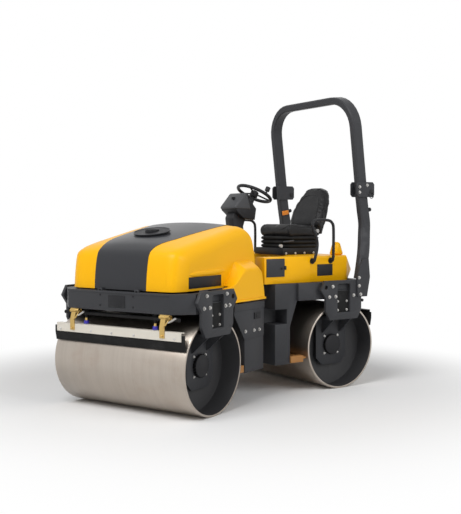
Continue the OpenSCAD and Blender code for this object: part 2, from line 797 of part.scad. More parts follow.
// Upper hoop, leaning forward, with a lug at each foot
module roll_bar() {
    foot = bar_split + 8;
    reach = (bar_top - bar_w / 2 - foot) / cos(bar_lean);
    tan_x = sin(bar_lean);
    up = cos(bar_lean);
    bends = 8;
    flat = concat([[bar_y, 0], [bar_y, (reach - bar_bend) / 2]],
        [for (k = [0 : bends]) [bar_y - bar_bend, reach - bar_bend] + bar_bend * [cos(90 * k / bends),
                                                                                  sin(90 * k / bends)]],
        [for (k = [bends : -1 : 0]) [bar_bend - bar_y, reach - bar_bend] + bar_bend * [-cos(90 * k / bends),
                                                                                   sin(90 * k / bends)]],
        [[-bar_y, (reach - bar_bend) / 2], [-bar_y, 0]]);
    path = [for (p = flat) [bar_post_x + p[1] * tan_x, p[0], foot + p[1] * up]];
    color(grey) difference() {
        union() {
            sweep(path, cut_rect(bar_d, bar_w, bar_cut), [up, 0, -tan_x]);
            for (s = [-1, 1]) translate([0, s * bar_y, 0]) {
                y_rod(bar_joint_x, bar_joint_z, -bar_w / 2, bar_w / 2, bar_lug_r);
                block(bar_joint_x, bar_post_x, -bar_w / 2, bar_w / 2, bar_joint_z - 8,
                      bar_joint_z + bar_lug_r);
            }
        }
        y_rod(bar_joint_x, bar_joint_z, -2 * bar_y, 2 * bar_y, bar_pin_r + run);
    }
}

// At a step of a lower post's line, turned along it
module on_post(i) {
    path = post_path();
    along = tangent(path, i);
    translate(path[i]) rotate([0, atan2(along[0], along[2]), 0]) children();
}

// Headed pins of the folding joints, and a round knob on the back of each lower post
module bar_pins() {
    end = bar_w / 2 + bar_gap + bar_plate;
    color(black) both_sides() {
        translate([0, bar_y, 0]) {
            y_rod(bar_joint_x, bar_joint_z, -end - 6, end + 6, bar_pin_r);
            for (y = [-end - 6, end + 0.3]) y_rod(bar_joint_x, bar_joint_z, y, y + 5.7, bar_pin_r + 6);
        }
        on_post(bar_mark) translate([-bar_d / 2 - 0.5, 0, 0]) rotate([0, -90, 0]) {
            cylinder(h = 14, r = 8);
            translate([0, 0, 12]) cylinder(h = 22, r = 17);
        }
    }
}

// Amber block on the right post's inner face
module marker_block() {
    color(amber) right_side() on_post(bar_mark) block(-25, 45, -bar_w / 2 - 14.5, -bar_w / 2 - 0.5, -26, 14);
}

rear_chassis();
rear_rails();
rear_half() fork();  // rear_fork_left
rear_half() right_side() fork();  // rear_fork_right
rear_half() drum_motors();  // rear_drum_motors
rear_tank();
tank_humps();
floor_mat();
tank_hatch();
seat_base();
seat_cushion();
seat_back();
handrail();  // handrail_left
right_side() handrail();  // handrail_right
console();
steering_column();
bar_post();  // bar_post_left
right_side() bar_post();  // bar_post_right
bar_pins();
marker_block();
hitch_pin();
color(black) rear_half() scraper();  // rear_scraper
rear_half() blade();  // rear_blade
rear_half() inner_scraper(box_waist);  // rear_inner_scraper
rear_half() sprinkler();  // rear_sprinkler
front_chassis();
front_rails();
front_half() fork();  // front_fork_left
front_half() right_side() fork();  // front_fork_right
front_half() drum_motors();  // front_drum_motors
engine_block();
side_panels();
color(cream) front_half() scraper();  // front_scraper
front_half() blade();  // front_blade
front_half() inner_scraper(box_end);  // front_inner_scraper
front_half() sprinkler();  // front_sprinkler
front_half() drum();  // front_drum
rear_half() drum();  // rear_drum
steering_wheel();
roll_bar();
hood_left();
hood_right();
hood_strip();
hood_badges();
filler_cap();
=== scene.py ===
import json
import math

import bmesh
import bpy
from mathutils import Matrix, Vector
from mathutils.bvhtree import BVHTree


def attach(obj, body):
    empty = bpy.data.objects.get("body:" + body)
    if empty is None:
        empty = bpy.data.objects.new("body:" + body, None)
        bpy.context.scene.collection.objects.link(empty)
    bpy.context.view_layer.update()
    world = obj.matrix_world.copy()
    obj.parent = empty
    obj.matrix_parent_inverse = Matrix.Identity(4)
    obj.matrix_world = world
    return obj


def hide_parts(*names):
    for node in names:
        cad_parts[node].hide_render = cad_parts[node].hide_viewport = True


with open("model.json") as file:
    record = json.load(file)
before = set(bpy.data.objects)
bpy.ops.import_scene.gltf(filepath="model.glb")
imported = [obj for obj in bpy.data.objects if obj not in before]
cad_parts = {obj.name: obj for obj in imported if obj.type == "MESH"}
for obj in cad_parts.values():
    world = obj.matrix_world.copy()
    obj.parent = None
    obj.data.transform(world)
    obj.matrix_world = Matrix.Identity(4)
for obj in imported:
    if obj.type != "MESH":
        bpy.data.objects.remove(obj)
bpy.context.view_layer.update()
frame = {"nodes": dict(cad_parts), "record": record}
nodes = frame["nodes"]
print("frame loaded:", len(nodes), "nodes")

layout = {"steered": 22.0, "axle": 0.86, "drumRadius": 0.35}  # the front half stands turned to the left
steered = math.radians(layout["steered"])
frontTurn = Matrix.Rotation(steered, 4, "Z")
mirrorX = Matrix.Scale(-1, 4, (1, 0, 0))
mirrorY = Matrix.Scale(-1, 4, (0, 1, 0))


# Shader sums

class Wire:
    def __init__(self, tree, socket):
        self.tree = tree
        self.socket = socket

    def put(self, socket, value):
        if isinstance(value, Wire):
            self.tree.links.new(value.socket, socket)
        else:
            socket.default_value = value

    def node(self, kind, settings=None, inputs=None, out=0):
        made = self.tree.nodes.new(kind)
        for key, value in (settings or {}).items():
            setattr(made, key, value)
        for key, value in (inputs or {}).items():
            self.put(made.inputs[key], value)
        return Wire(self.tree, made.outputs[out])

    def math(self, operation, a, b=0.0):
        return self.node("ShaderNodeMath", {"operation": operation}, {0: a, 1: b})

    def __add__(self, other):
        return self.math("ADD", self, other)

    def __radd__(self, other):
        return self.math("ADD", other, self)

    def __sub__(self, other):
        return self.math("SUBTRACT", self, other)

    def __rsub__(self, other):
        return self.math("SUBTRACT", other, self)

    def __mul__(self, other):
        return self.math("MULTIPLY", self, other)

    def __pow__(self, other):
        return self.math("POWER", self, other)

    def step(self, low, high):
        return self.node("ShaderNodeMapRange", {"interpolation_type": "SMOOTHSTEP"},
                         {"Value": self, "From Min": low, "From Max": high})

    def mix(self, a, b):
        return self.node("ShaderNodeMix", {"data_type": "RGBA"}, {"Factor": self, 6: a, 7: b}, out=2)

    def noise(self, scale, detail=3.0, rough=0.55):
        return self.node("ShaderNodeTexNoise", None,
                         {"Vector": self, "Scale": scale, "Detail": detail, "Roughness": rough})

    def stretched(self, scale, turn=0.0):
        return self.node("ShaderNodeMapping", None,
                         {"Vector": self, "Rotation": (0, 0, turn), "Scale": scale})

    def part(self, axis):
        return self.node("ShaderNodeSeparateXYZ", None, {0: self}, out="XYZ".index(axis))


# Finishes

def startFinish(name, fixed):
    made = bpy.data.materials.new(name)
    made.use_nodes = True
    tree = made.node_tree
    shader = tree.nodes["Principled BSDF"]
    for key, value in fixed.items():
        shader.inputs[key].default_value = value
    places = tree.nodes.new("ShaderNodeTexCoord")
    return made, shader, Wire(tree, places.outputs["Object"])


def bumped(place, height, strength, distance):
    return place.node("ShaderNodeBump", None, {"Height": height, "Strength": strength, "Distance": distance})


paint = {
    "coatRough": 0.12, "specular": 0.22, "cloud": (2.6, 4.0), "dust": (38.0, 5.0, 0.7),
    "dustFrom": (0.55, 0.8), "dustTint": 0.18, "cloudTint": 0.12, "cloudRough": 0.1, "dustRough": 0.12,
    "dustCoat": 0.5, "peel": (420.0, 2.0), "peelDepth": 0.0006,
}


def paintFinish(name, colour, worn, rough, coat, peel):
    made, shader, place = startFinish(name, {"Coat Roughness": paint["coatRough"],
                                             "Specular IOR Level": paint["specular"]})
    cloud = place.noise(*paint["cloud"])
    dust = place.noise(*paint["dust"]).step(*paint["dustFrom"])
    tint = dust * paint["dustTint"] + cloud * paint["cloudTint"]
    place.put(shader.inputs["Base Color"], tint.mix((*colour, 1), (*worn, 1)))
    place.put(shader.inputs["Roughness"], rough + cloud * paint["cloudRough"] + dust * paint["dustRough"])
    place.put(shader.inputs["Coat Weight"], coat - dust * paint["dustCoat"] * coat)
    place.put(shader.inputs["Normal"], bumped(place, place.noise(*paint["peel"]), peel, paint["peelDepth"]))
    return made


grain = {
    "specular": 0.2, "rub": (9.0, 4.0, 0.6), "rubFrom": (0.45, 0.75), "rubTint": 0.5, "rubRough": 0.12,
    "cellEdge": (0.0, 0.25), "cellDepth": 0.0008,
}


def grainFinish(name, colour, pale, rough, size, depth):
    made, shader, place = startFinish(name, {"Specular IOR Level": grain["specular"]})
    cells = place.node("ShaderNodeTexVoronoi", {"feature": "DISTANCE_TO_EDGE"},
                       {"Vector": place, "Scale": size})
    rub = place.noise(*grain["rub"]).step(*grain["rubFrom"])
    place.put(shader.inputs["Base Color"], (rub * grain["rubTint"]).mix((*colour, 1), (*pale, 1)))
    place.put(shader.inputs["Roughness"], rough - rub * grain["rubRough"])
    height = cells.step(*grain["cellEdge"])
    place.put(shader.inputs["Normal"], bumped(place, height, depth, grain["cellDepth"]))
    return made


metal = {
    "brush": (1.0, 3.0), "stain": (5.0, 5.0, 0.65), "stainFrom": (0.42, 0.72), "stainTint": 0.35,
    "brushTint": 0.25, "brushRough": 0.14, "stainRough": 0.1, "lineStrength": 0.08, "lineDepth": 0.0005,
}


def metalFinish(name, colour, dark, rough, lines):
    made, shader, place = startFinish(name, {"Metallic": 1.0})
    brush = place.stretched(lines).noise(*metal["brush"])
    stain = place.noise(*metal["stain"]).step(*metal["stainFrom"])
    tint = stain * metal["stainTint"] + brush * metal["brushTint"]
    place.put(shader.inputs["Base Color"], tint.mix((*colour, 1), (*dark, 1)))
    place.put(shader.inputs["Roughness"], rough + brush * metal["brushRough"] + stain * metal["stainRough"])
    place.put(shader.inputs["Normal"], bumped(place, brush, metal["lineStrength"], metal["lineDepth"]))
    return made


rolled = {
    "specular": 0.5, "brightFrom": (0.016, 0.013), "brush": (3.0, 420.0, 3.0), "bands": (0.7, 14.0, 0.7),
    "brushNoise": (1.0, 4.0, 0.7), "bandNoise": (1.0, 3.0), "stain": (4.0, 5.0, 0.65),
    "stainFrom": (0.45, 0.75), "brushTint": 0.45, "bandTint": 0.35, "stainTint": 0.3,
    "pale": (0.54, 0.485, 0.43, 1), "dark": (0.3, 0.26, 0.22, 1), "rust": (0.34, 0.25, 0.19, 1),
    "paint": (0.02, 0.02, 0.022, 1), "paintRough": 0.5, "brightLess": 0.2, "brushRough": 0.12,
    "lineStrength": 0.1, "lineDepth": 0.0006,
}


def drumFinish(name, axle, turn):  # bright outside, painted inside the rim
    radius = layout["drumRadius"]
    made, shader, place = startFinish(name, {"Specular IOR Level": rolled["specular"]})
    local = place.stretched((1, 1, 1), -turn)
    gapX = local.part("X") - axle
    gapZ = local.part("Z") - radius
    reach = (gapX * gapX + gapZ * gapZ) ** 0.5
    bright = reach.step(*(radius - inner for inner in rolled["brightFrom"]))
    brush = local.stretched(rolled["brush"]).noise(*rolled["brushNoise"])
    bands = local.stretched(rolled["bands"]).noise(*rolled["bandNoise"])
    stain = place.noise(*rolled["stain"]).step(*rolled["stainFrom"])
    steel = (brush * rolled["brushTint"] + bands * rolled["bandTint"]).mix(rolled["pale"], rolled["dark"])
    steel = (stain * rolled["stainTint"]).mix(steel, rolled["rust"])
    rough = rolled["paintRough"] - bright * rolled["brightLess"] + brush * rolled["brushRough"]
    place.put(shader.inputs["Base Color"], bright.mix(rolled["paint"], steel))
    place.put(shader.inputs["Metallic"], bright)
    place.put(shader.inputs["Roughness"], rough)
    place.put(shader.inputs["Normal"], bumped(place, brush, rolled["lineStrength"], rolled["lineDepth"]))
    return made


finishes = {
    "dark_paint": paintFinish("darkPaint", (0.036, 0.037, 0.041), (0.06, 0.06, 0.064), 0.42, 0.02, 0.05),
    "yellow_paint": paintFinish("yellowPaint", (0.97, 0.49, 0.0), (0.92, 0.43, 0.0), 0.36, 0.05, 0.03),
    "black_paint": paintFinish("blackPaint", (0.012, 0.012, 0.014), (0.03, 0.03, 0.032), 0.45, 0.03, 0.06),
    "strip_paint": paintFinish("stripPaint", (0.026, 0.027, 0.031), (0.04, 0.04, 0.044), 0.3, 0.12, 0.03),
    "cream_paint": paintFinish("creamPaint", (0.72, 0.68, 0.6), (0.5, 0.45, 0.38), 0.45, 0.1, 0.06),
    "copper_plate": paintFinish("copperPlate", (0.4, 0.19, 0.06), (0.2, 0.1, 0.05), 0.42, 0.05, 0.08),
    "amber_plastic": paintFinish("amberPlastic", (0.85, 0.26, 0.01), (0.7, 0.2, 0.02), 0.3, 0.3, 0.02),
    "black_rubber": grainFinish("blackRubber", (0.009,) * 3, (0.022,) * 3, 0.75, 500.0, 0.1),
    "seat_vinyl": grainFinish("seatVinyl", (0.014, 0.014, 0.015), (0.03, 0.03, 0.032), 0.42, 330.0, 0.25),
    "black_plastic": grainFinish("blackPlastic", (0.016, 0.016, 0.018), (0.035, 0.035, 0.037), 0.5, 620.0,
                                 0.12),
    "pin_steel": metalFinish("pinSteel", (0.62, 0.61, 0.6), (0.35, 0.34, 0.33), 0.3, (60.0, 60.0, 9.0)),
    "lid_grey": paintFinish("lidGrey", (0.06, 0.062, 0.067), (0.09, 0.09, 0.095), 0.42, 0.05, 0.05),
    "zinc": metalFinish("boltZinc", (0.55, 0.54, 0.52), (0.3, 0.29, 0.28), 0.3, (90.0, 90.0, 90.0)),
    "gold": metalFinish("goldZinc", (0.62, 0.43, 0.15), (0.36, 0.24, 0.09), 0.3, (70.0, 70.0, 20.0)),
    "blue": paintFinish("nozzleBlue", (0.05, 0.04, 0.42), (0.06, 0.05, 0.3), 0.35, 0.2, 0.02),
    "front_drum": drumFinish("frontDrumSteel", layout["axle"], steered),
    "rear_drum": drumFinish("rearDrumSteel", -layout["axle"], 0.0),
}
print("finishes made:", len(finishes))


# Pieces

bodyOf = {node: body for body, names in frame["record"]["behaviour"]["bodies"].items() for node in names}
slotOf = {entry["node"]: entry["material_slot"] for entry in frame["record"]["subparts"]}
edges = {
    "weld": 1e-6, "cadWeld": 2e-6, "flatTo": 0.6, "easeFrom": 28.0, "bevelFrom": 30.0, "sharpFrom": 32.0,
}


def addPiece(name, mesh, body, finish):
    made = bpy.data.meshes.new(name)
    bmesh.ops.remove_doubles(mesh, verts=mesh.verts, dist=edges["weld"])
    bmesh.ops.recalc_face_normals(mesh, faces=mesh.faces)
    mesh.to_mesh(made)
    mesh.free()
    piece = bpy.data.objects.new(name, made)
    bpy.context.collection.objects.link(piece)
    made.materials.append(finishes[finish])
    made.shade_smooth()
    made.set_sharp_from_angle(angle=math.radians(edges["sharpFrom"]))
    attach(piece, body)
    return piece


def cadCopy(node):  # the node's mesh with its flat faces whole again
    mesh = bmesh.new()
    mesh.from_mesh(nodes[node].data)
    bmesh.ops.remove_doubles(mesh, verts=mesh.verts, dist=edges["cadWeld"])
    bmesh.ops.dissolve_limit(mesh, angle_limit=math.radians(edges["flatTo"]), verts=mesh.verts,
                             edges=mesh.edges)
    return mesh


def sharpEdges(mesh, angle):
    return [e for e in mesh.edges if e.is_manifold and e.calc_face_angle(0.0) > math.radians(angle)]


def bevelEdges(mesh, chosen, width, segments):
    bmesh.ops.bevel(mesh, geom=chosen, offset=width, offset_type="OFFSET", segments=segments, profile=0.5,
                    affect="EDGES", clamp_overlap=True, material=-1)


def bevelled(mesh, width, segments=2):
    bmesh.ops.remove_doubles(mesh, verts=mesh.verts, dist=edges["weld"])
    bmesh.ops.recalc_face_normals(mesh, faces=mesh.faces)
    bevelEdges(mesh, sharpEdges(mesh, edges["bevelFrom"]), width, segments)


def finished(node, width, finish=None):  # the node's own form with its edges eased
    mesh = cadCopy(node)
    if width:
        bevelEdges(mesh, sharpEdges(mesh, edges["easeFrom"]), width, 2)
    slot = slotOf[node]
    piece = addPiece(node + "_eased", mesh, bodyOf[node], finish or slot)
    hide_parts(node)
    return piece


def keep(piece):  # the modifiers' result becomes the piece's own mesh
    finish = piece.data.materials[0]
    shown = piece.evaluated_get(bpy.context.evaluated_depsgraph_get())
    made = bpy.data.meshes.new_from_object(shown)
    piece.modifiers.clear()
    old = piece.data
    piece.data = made
    bpy.data.meshes.remove(old)
    made.materials.clear()
    made.materials.append(finish)


def softened(piece, passes):
    soften = piece.modifiers.new("soften", "SMOOTH")
    soften.factor = 0.5
    soften.iterations = passes
    keep(piece)
    piece.data.shade_smooth()


def rounded(piece, voxel, passes):  # one even skin with soft edges
    even = piece.modifiers.new("even", "REMESH")
    even.mode = "VOXEL"
    even.voxel_size = voxel
    softened(piece, passes)


easing = {
    "rear_chassis": 0.006, "rear_rails": 0.005, "rear_fork_left": 0.003, "rear_fork_right": 0.003,
    "rear_drum_motors": 0.005, "rear_tank": 0.014, "tank_humps": 0.02, "floor_mat": 0.002,
    "tank_hatch": 0.002, "console": 0.012, "steering_column": 0.003, "bar_pins": 0.002,
    "marker_block": 0.003, "hitch_pin": 0.003, "rear_scraper": 0.0015, "rear_blade": 0.0015,
    "rear_inner_scraper": 0.002,
    "front_chassis": 0.006, "front_rails": 0.005, "front_fork_left": 0.003, "front_fork_right": 0.003,
    "front_drum_motors": 0.005, "engine_block": 0.01, "side_panels": 0.002,
    "front_blade": 0.0015, "front_inner_scraper": 0.002, "hood_badges": 0.0015, "filler_cap": 0.005,
    "handrail_left": 0.0, "handrail_right": 0.0, "bar_post_left": 0.0, "bar_post_right": 0.0,
    "roll_bar": 0.0, "steering_wheel": 0.0,
}
for node, width in easing.items():
    finished(node, width)
for node in ("rear_sprinkler", "front_sprinkler"):
    finished(node, 0.0, "black_rubber")

drum = {"edge": 0.0025, "bore": 0.0305, "room": 0.0015}


def addDrum(node, axle, turn):  # its bore stays off the axle's facets as it turns
    back = turn.inverted()
    for v in finished(node, drum["edge"], node).data.vertices:
        place = back @ v.co
        gap = Vector((place.x - axle, 0, place.z - layout["drumRadius"]))
        if gap.length < drum["bore"]:
            v.co = turn @ (place + gap.normalized() * drum["room"])


addDrum("front_drum", layout["axle"], frontTurn)
addDrum("rear_drum", -layout["axle"], Matrix.Identity(4))
print("eased pieces made")


# Shapes for new pieces

def addBox(mesh, low, high):
    size = Vector(high) - Vector(low)
    place = Matrix.Translation((Vector(high) + Vector(low)) / 2) @ Matrix.Diagonal((*size, 1))
    bmesh.ops.create_cube(mesh, size=1.0, matrix=place)


def addSideBox(mesh, box, side, face=0.0):  # a box on the left (1) or right (-1), measured out from a face
    addBox(mesh, *((x, side * (face + out), z) for x, out, z in box))


def addRod(mesh, start, end, radius, segments=20, far=None):
    start, end = Vector(start), Vector(end)
    turn = (end - start).to_track_quat("Z", "Y").to_matrix().to_4x4()
    place = Matrix.Translation((start + end) / 2) @ turn
    bmesh.ops.create_cone(mesh, cap_ends=True, segments=segments, radius1=radius,
                          radius2=radius if far is None else far, depth=(end - start).length, matrix=place)


def addSlab(mesh, outline, low, high):  # an outline in X and Z, from one Y to another
    face = mesh.faces.new([mesh.verts.new((x, low, z)) for x, z in outline])
    made = bmesh.ops.extrude_face_region(mesh, geom=[face])
    moved = [g for g in made["geom"] if isinstance(g, bmesh.types.BMVert)]
    bmesh.ops.translate(mesh, verts=moved, vec=(0, high - low, 0))


def addLoft(mesh, rings):  # closed skin through rings of equal length
    rows = [[mesh.verts.new(point) for point in ring] for ring in rings]
    count = len(rows[0])
    for a, b in zip(rows, rows[1:]):
        for i in range(count):
            mesh.faces.new((a[i], a[(i + 1) % count], b[(i + 1) % count], b[i]))
    mesh.faces.new(rows[0])
    mesh.faces.new(rows[-1])


def circle(radius, count, shift=0.0):
    angles = [math.tau * (k + shift) / count for k in range(count)]
    return [(radius * math.cos(angle), radius * math.sin(angle)) for angle in angles]


def addTube(mesh, path, radius, sides=10):
    path = [Vector(p) for p in path]
    rings = []
    for i, point in enumerate(path):
        ahead = (path[min(i + 1, len(path) - 1)] - path[max(i - 1, 0)]).normalized()
        turn = ahead.to_track_quat("Z", "Y").to_matrix()
        rings.append([point + turn @ Vector((x, y, 0)) for x, y in circle(radius, sides)])
    addLoft(mesh, rings)


boltShape = [(0.0, 0.18, 0.95, 0.95, 24), (0.16, 0.72, 0.68, 0.68, 6), (0.7, 0.8, 0.64, 0.52, 6)]


def addBolt(mesh, place, axis, size):  # washer, hexagon head and its crown, as shares of the size
    place, axis = Vector(place), Vector(axis).normalized()
    for start, end, radius, far, segments in boltShape:
        foot, head = (place + axis * size * share for share in (start, end))
        addRod(mesh, foot, head, size * radius, segments, size * far)


def onFront(mesh):
    mesh.transform(frontTurn)
    return mesh


# Hood

hood = {
    "front": 1.165, "back": 0.172, "low": 0.89, "rise": 0.482, "halfWidth": 0.506, "strip": 0.238,
    "wall": 0.008, "along": 84, "across": 64, "corner": 0.262, "square": 18.0, "proud": 0.0025, "ramp": 0.05,
    "bend": 0.06, "noseFlare": (1.13, 0.28, 0.05), "rearFlare": (1.0, 0.7, 0.07), "crestAt": 0.75,
    "crest": 1.31, "slope": 11.5, "edgeDrop": 0.022, "shoulder": 0.105, "shoulderDrop": 0.052,
    "side": [(1.0, 0.0), (0.99, 0.239), (0.976, 0.425), (0.958, 0.539), (0.921, 0.612), (0.854, 0.7),
             (0.736, 0.79), (0.582, 0.869), (0.431, 0.925), (0.28, 0.972), (0.169, 0.988), (0.114, 0.923),
             (0.0685, 0.809), (0.0332, 0.664), (0.01, 0.498), (0.0, 0.332), (0.0, 0.0)],
}


def throughPoints(points, steps, fine=12):  # a smooth line through the points, evenly spaced
    dense = []
    last = len(points) - 1
    for i in range(last):
        a, b, c, d = (Vector(points[max(0, min(last, i + k))]) for k in (-1, 0, 1, 2))
        for k in range(fine):
            t = k / fine
            dense.append(0.5 * (2 * b + (c - a) * t + (2 * a - 5 * b + 4 * c - d) * t * t
                                + (3 * b - a - 3 * c + d) * t ** 3))
    dense.append(Vector(points[last]))
    run = [0.0]
    for a, b in zip(dense, dense[1:]):
        run.append(run[-1] + (b - a).length)
    line = []
    k = 0
    for i in range(steps + 1):
        want = run[-1] * i / steps
        while k < len(run) - 2 and run[k + 1] < want:
            k += 1
        t = (want - run[k]) / max(run[k + 1] - run[k], 1e-9)
        line.append(dense[k].lerp(dense[k + 1], t))
    return line


def between(share):
    return max(0.0, min(1.0, share))


def stripAt(x):  # the strip's half width, wider towards the seat
    noseStart, noseRun, noseWide = hood["noseFlare"]
    rearStart, rearRun, rearWide = hood["rearFlare"]
    nose = between((noseStart - x) / noseRun)
    rear = between((rearStart - x) / rearRun)
    return hood["strip"] + noseWide * nose * nose * (3 - 2 * nose) + rearWide * rear ** 1.5


def hoodAcross(band, x):  # half width and drop from the crest, over strip (to 1), top (2) and shoulder (3)
    turn = hood["halfWidth"] - hood["shoulder"]
    if band > 2:
        angle = math.pi / 2 * min(1.0, band - 2)
        return (turn + hood["shoulder"] * math.sin(angle),
                hood["shoulderDrop"] + hood["shoulder"] * (1 - math.cos(angle)))
    edge = stripAt(x)
    y = edge * band if band <= 1 else edge + (turn - edge) * (band - 1)
    if y <= hood["strip"]:
        return y, hood["edgeDrop"] * (y / hood["strip"]) ** 2
    out = (y - hood["strip"]) / (turn - hood["strip"])
    return y, hood["edgeDrop"] + (hood["shoulderDrop"] - hood["edgeDrop"]) * out


def softLeast(a, b, reach):  # the lesser of the two, with a round change between them
    h = between(0.5 + 0.5 * (b - a) / reach)
    return b + (a - b) * h - reach * h * (1 - h)


def hoodSkin():
    line = throughPoints([(hood["back"] + f * (hood["front"] - hood["back"]), g * hood["rise"])
                          for f, g in hood["side"]], hood["along"])
    middle = (hood["front"] + hood["back"]) / 2
    fall = math.tan(math.radians(hood["slope"]))
    mesh = bmesh.new()
    bmesh.ops.create_grid(mesh, x_segments=hood["along"], y_segments=hood["across"], size=0.5)
    for v in mesh.verts:
        x, z = line[round((v.co.x + 0.5) * hood["along"])]
        band = abs(8 * v.co.y)
        y, drop = hoodAcross(band, x)
        crest = hood["crest"] + (hood["crestAt"] - x) * fall - hood["low"]
        top = max(0.0, softLeast(z, crest - drop, min(hood["bend"], 0.5 * z + 0.001)))
        if band > 3:  # the wall goes down to the foot
            top *= 4 - band
        if x > middle:
            x = middle + (x - middle) * (1 - hood["corner"] * (y / hood["halfWidth"]) ** hood["square"])
        v.co = (x, math.copysign(y, v.co.y), hood["low"] + top)
    return mesh


def hoodPanel(name, node, side, finish, proud=0.0):
    mesh = hoodSkin()
    away = []
    for f in mesh.faces:
        centre = f.calc_center_median()
        onSide = 0 if abs(centre.y) < stripAt(centre.x) else math.copysign(1, centre.y)
        if onSide != side:
            away.append(f)
    bmesh.ops.delete(mesh, geom=away, context="FACES")
    bmesh.ops.remove_doubles(mesh, verts=mesh.verts, dist=1e-5)
    bmesh.ops.recalc_face_normals(mesh, faces=mesh.faces)
    if sum(f.normal.z * f.calc_area() for f in mesh.faces) < 0:
        bmesh.ops.reverse_faces(mesh, faces=mesh.faces)
    mesh.normal_update()
    for v in mesh.verts:  # the foot stays flush, so that it clears the hinge ears
        v.co += v.normal * proud * between((v.co.z - hood["low"]) / hood["ramp"])
    bmesh.ops.solidify(mesh, geom=mesh.faces[:], thickness=hood["wall"])
    piece = addPiece(name, onFront(mesh), "hood", finish)
    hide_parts(node)


hoodPanel("hood_left_panel", "hood_left", 1, "yellow_paint")
hoodPanel("hood_right_panel", "hood_right", -1, "yellow_paint")
hoodPanel("hood_middle_panel", "hood_strip", 0, "strip_paint", hood["proud"])

pod = {
    "outer": [(0.16, 0.78), (0.692, 0.78), (0.692, 0.886), (0.6, 0.9), (0.535, 0.95), (0.48, 0.99),
              (0.437, 1.015), (0.25, 1.018), (0.205, 0.985), (0.188, 0.9)],
    "inner": [(0.16, 0.78), (0.692, 0.78), (0.692, 0.886), (0.6, 0.9), (0.54, 0.965), (0.495, 1.03),
              (0.46, 1.085), (0.24, 1.088), (0.19, 1.04), (0.178, 0.9)],
    "face": 0.6, "middle": 0.552, "root": 0.49, "rootLow": 0.894, "round": 0.014, "voxel": 0.006,
    "passes": 14, "foot": ((0.162, 0.594, 0.781), (0.588, 0.605, 0.797)), "footEdge": 0.002,
}


def sidePod(name, flip):  # swelling at the hood's foot, behind the fork
    mesh = bmesh.new()
    half = [((a[0] + b[0]) / 2, (a[1] + b[1]) / 2) for a, b in zip(pod["outer"], pod["inner"])]
    addLoft(mesh, [[(x, pod["face"], z) for x, z in pod["outer"]], [(x, pod["middle"], z) for x, z in half]])
    rim = [e for e in mesh.edges if all(v.co.y > pod["face"] - 1e-4 for v in e.verts)]
    bevelEdges(mesh, rim, pod["round"], 4)
    addLoft(mesh, [[(x, pod["middle"], max(z, pod["rootLow"])) for x, z in half[2:]],
                   [(x, pod["root"], max(z, pod["rootLow"])) for x, z in pod["inner"][2:]]])
    foot = bmesh.new()
    addBox(foot, *pod["foot"])
    bevelled(foot, pod["footEdge"])
    if flip:
        mesh.transform(mirrorY)
        foot.transform(mirrorY)
    piece = addPiece(name, onFront(mesh), "hood", "yellow_paint")
    rounded(piece, pod["voxel"], pod["passes"])
    addPiece(name + "_foot", onFront(foot), "hood", "yellow_paint")


sidePod("hood_pod_left", False)
sidePod("hood_pod_right", True)

ridge = {
    "front": 1.045, "rear": 0.56, "height": 1.003, "fall": 0.012, "proud": 0.011, "sunk": 0.004,
    "tall": 0.02, "steps": 24, "bend": 10, "taper": 6, "end": 0.05,
}


def hoodRidges():  # pressed ridge over each blank plate
    angles = [math.pi * i / ridge["bend"] for i in range(ridge["bend"] + 1)]
    root = hood["halfWidth"] - ridge["sunk"]
    for name, side in (("hood_ridge_left", 1), ("hood_ridge_right", -1)):
        mesh = bmesh.new()
        rings = []
        for k in range(ridge["steps"] + 1):
            t = k / ridge["steps"]
            swell = min(1.0, ridge["taper"] * t + ridge["end"], ridge["taper"] * (1 - t) + ridge["end"])
            x = ridge["front"] + (ridge["rear"] - ridge["front"]) * t
            z = ridge["height"] + ridge["fall"] * t
            out = (ridge["proud"] + ridge["sunk"]) * swell
            rings.append([(x, side * (root + out * math.sin(a)), z - ridge["tall"] * swell * math.cos(a))
                          for a in angles])
        addLoft(mesh, rings)
        addPiece(name, onFront(mesh), "hood", "yellow_paint")


hoodRidges()

filler = {
    "place": (0.8, 0.0, 1.2955), "tilt": 14.0, "wide": 0.15, "long": 0.11, "rim": 0.0045, "rimUp": 0.004,
    "steps": 48, "dish": ((1.0, -0.004), (1.0, 0.004), (0.8, 0.0055)),
}


def fillerRecess():  # oval dish round the filler cap
    turn = Matrix.Translation(filler["place"]) @ Matrix.Rotation(math.radians(filler["tilt"]), 4, "Y")
    oval = [(filler["long"] * x, filler["wide"] * y) for x, y in circle(1.0, filler["steps"])]
    rim = bmesh.new()
    addTube(rim, [(x, y, filler["rimUp"]) for x, y in oval + oval[:1]], filler["rim"])
    rim.transform(turn)
    addPiece("hood_recess_rim", onFront(rim), "hood", "strip_paint")
    dish = bmesh.new()
    addLoft(dish, [[(x * f, y * f, z) for x, y in oval] for f, z in filler["dish"]])
    dish.transform(turn)
    addPiece("hood_recess", onFront(dish), "hood", "black_plastic")


fillerRecess()

knuckle = {
    "x": 1.178, "z": 0.89, "apart": 0.17, "half": 0.009, "radius": 0.009, "leaf": (1.158, 0.892, 0.899),
}


def hoodKnuckles():
    mesh = bmesh.new()
    x, z = knuckle["x"], knuckle["z"]
    leafX, leafLow, leafHigh = knuckle["leaf"]
    for side in (-1, 1):
        start = side * knuckle["apart"] - knuckle["half"]
        end = side * knuckle["apart"] + knuckle["half"]
        addRod(mesh, (x, start, z), (x, end, z), knuckle["radius"])
        addBox(mesh, (leafX, start, leafLow), (x, end, leafHigh))
    addPiece("hood_knuckles", onFront(mesh), "hood", "dark_paint")


hoodKnuckles()
print("hood made")


# Seat

seat = {
    "voxel": 0.007, "passes": 10, "pressure": 4.0, "stiffness": 2.0, "frames": 20, "cap": 0.014,
    "shrink": 0.008, "round": 0.024, "lastPasses": 5,
}


